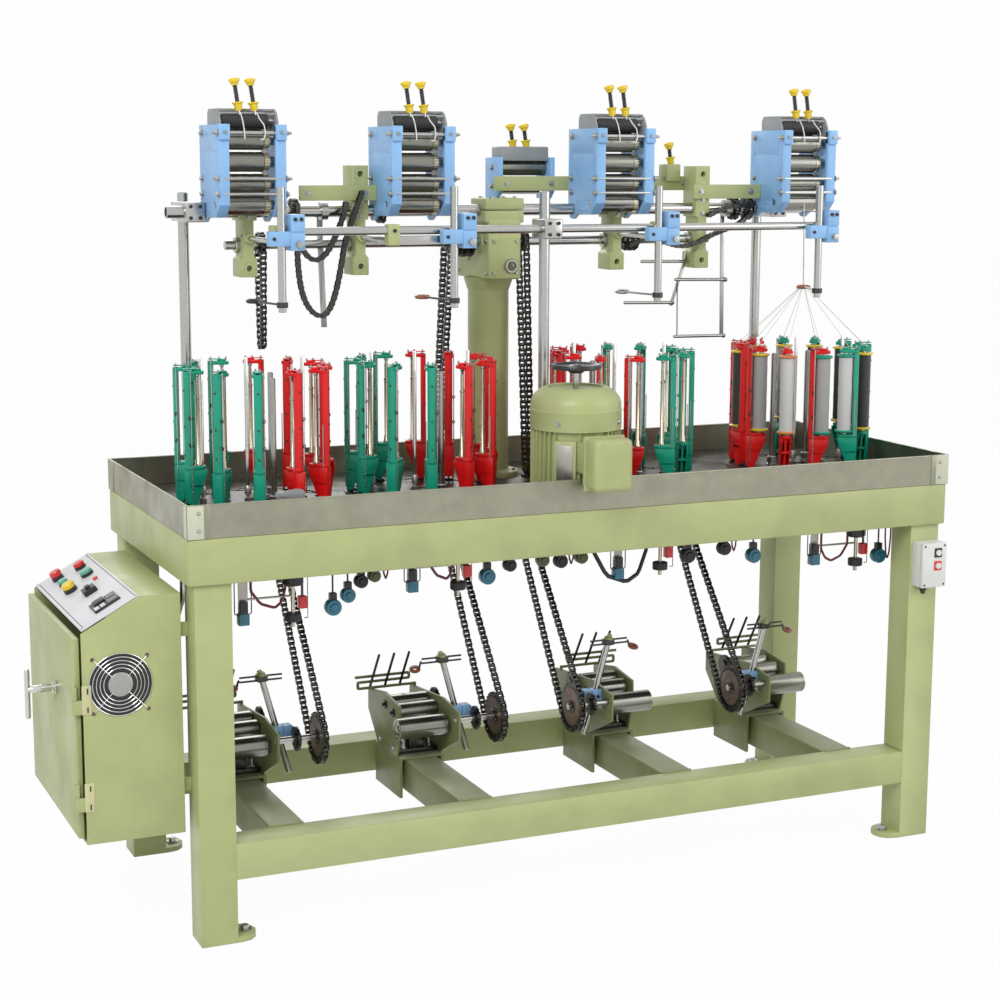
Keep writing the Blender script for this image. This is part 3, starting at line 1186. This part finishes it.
def build_door(left, front, back, low, high):
    """The door in the cabinet's left side, hinged at its front edge, and its T handle."""
    axis_x, axis_y = left - HINGE_STAND, front + HINGE_RADIUS
    inner = left + DOOR_THICKNESS - DOOR_GAP
    edge = axis_y + HINGE_RADIUS + SEAT * 2
    pieces = [box((left, edge, low), (inner, back - DOOR_GAP, high))]
    for z in HINGE_Z:
        bottom, top = z - HINGE_LENGTH / 2, z + HINGE_LENGTH / 2
        pieces.append(rod((axis_x, axis_y, bottom), (axis_x, axis_y, top), HINGE_RADIUS, 8))
        pieces.append(box((left, axis_y, bottom), (left + HINGE_RADIUS / 2, edge + SINK, top)))
    through = DOOR_THICKNESS * 2
    lock = rod((left - through, HANDLE_Y, HANDLE_Z), (left + through, HANDLE_Y, HANDLE_Z),
               HANDLE_STEM_RADIUS + RUNNING, ROUND)
    door = finish(cut(join(pieces), [lock]), "cabinet_door", FRAME_GREEN,
                  origin=(axis_x, axis_y, (low + high) / 2))

    tip = left - HANDLE_STEM
    bar_x = tip + HANDLE_BAR_RADIUS
    axis = (HANDLE_Y, HANDLE_Z)
    stem = [rod((inner, *axis), (tip + HANDLE_STEM_TIP, *axis), HANDLE_STEM_RADIUS, ROUND),
            rod((left - SEAT, *axis), (left - HANDLE_WASHER, *axis), HANDLE_WASHER_RADIUS, ROUND),
            rod((bar_x, HANDLE_Y, HANDLE_Z - HANDLE_BAR / 2), (bar_x, HANDLE_Y, HANDLE_Z + HANDLE_BAR / 2),
                HANDLE_BAR_RADIUS, 8)]
    finish(join(stem), "door_handle", STEEL, origin=(left, HANDLE_Y, HANDLE_Z), carrier=door)


def build_panel(slope_left, slope_right, front, back, top):
    """The sloped operating panel with its push buttons, selector and speed display."""
    slope = Vector((slope_right - slope_left, 0.0, PANEL_DROP))
    along = slope.normalized()
    normal = Vector((-along.z, 0.0, along.x))
    frame = Matrix((along, Vector((0, 1, 0)), normal)).transposed().to_4x4()
    frame.translation = Vector((slope_left, 0.0, top - PANEL_DROP)) + normal * SEAT
    length = slope.length
    root = PANEL_THICKNESS - BUTTON_SUNK
    pieces = [box((PANEL_MARGIN_X, front + PANEL_MARGIN_FRONT, 0.0),
                  (length - PANEL_MARGIN_X, back - PANEL_MARGIN_BACK, PANEL_THICKNESS))]
    for share, y, radius, height in PANEL_BUTTONS:
        x = share * length
        pieces.append(rod((x, front + y, root), (x, front + y, PANEL_THICKNESS + height), radius, 8))
    x = DISPLAY_SHARE * length
    pieces.append(box((x, front + DISPLAY_FRONT, root),
                      (x + DISPLAY_LENGTH, front + DISPLAY_BACK, PANEL_THICKNESS + DISPLAY_HEIGHT)))
    panel = join(pieces)
    panel.data.transform(frame)
    finish(panel, "control_panel", PANEL_GREY)


def build_fan_guard(front):
    """The round wire guard over the cabinet's fan: a ring, two crossed bars and a hub."""
    y = front - SEAT - FAN_WIRE
    centre = (FAN_X, FAN_Z)
    ring_hole = circle(centre, FAN_RADIUS - FAN_WIRE * 2, 16)
    pieces = [rod((FAN_X, y, FAN_Z), (FAN_X, y + FAN_WIRE, FAN_Z), FAN_HUB, 12),
              flat(circle(centre, FAN_RADIUS, 16), FAN_WIRE, "XZ", y, (ring_hole,))]
    middle = Vector((FAN_X, y + FAN_WIRE / 2, FAN_Z))
    for degrees in (45, 135):
        angle = math.radians(degrees)
        way = Vector((math.cos(angle), 0, math.sin(angle))) * (FAN_RADIUS + FAN_BAR_OVERHANG)
        pieces.append(rod(middle - way, middle + way, FAN_BAR_RADIUS, 4))
    finish(join(pieces), "fan_guard", DARK_STEEL)


def build_rear_unit():
    """A small take-up unit behind the gearbox, bolted to the back bar."""
    front = SHAFT_Y + HANGER_DEPTH / 2 + FLAT_BAR_THICKNESS + SEAT
    back = front + REAR_DEPTH
    left, right = REAR_X - REAR_WIDTH / 2, REAR_X + REAR_WIDTH / 2
    low, high = REAR_BOTTOM, REAR_BOTTOM + REAR_HEIGHT
    outline = [(front, low + REAR_CHAMFER), (front + REAR_CHAMFER, low), (back, low), (back, high),
               (front, high)]
    pieces = [flat(outline, UNIT_PLATE, "YZ", x) for x in (left, right - UNIT_PLATE)]
    middle = (front + back) / 2
    for lift in REAR_ROLLER_LIFTS:
        z = low + lift
        pieces.append(rod((left + REAR_ROLLER_SUNK, middle, z), (right - REAR_ROLLER_SUNK, middle, z),
                          REAR_ROLLER_RADIUS, 8))
    pieces.append(box((left + UNIT_PLATE - SINK, front + REAR_ROOF_INSET, high - REAR_ROOF_DROP),
                      (right - UNIT_PLATE + SINK, back - REAR_ROOF_INSET, high + REAR_ROOF_RISE)))
    for side in (-1, 1):
        pieces += knob_screw(Vector((REAR_X + side * KNOB_SPACING / 2, middle, high + REAR_KNOB_RISE)),
                             REAR_KNOB_LENGTH)
    finish(join(pieces), "rear_takeup_unit", BLUE)


def build_switch():
    x = LEG_OUTER - LEG_SIZE / 2
    y = FRONT_LEG_Y[0] - SEAT
    solid = box((x - SWITCH_WIDTH / 2, y - SWITCH_DEPTH, SWITCH_Z - SWITCH_HEIGHT / 2),
                (x + SWITCH_WIDTH / 2, y, SWITCH_Z + SWITCH_HEIGHT / 2))
    finish(solid, "switch_box", SWITCH_GREY)


build_frame()
build_deck()
build_heads()
build_motor()
build_column()
build_poles()
build_support_tube()
build_guide_bar()
build_drive_shaft()
build_takeup_units()
build_letoff_units()
build_cabinet()
build_switch()
build_rear_unit()
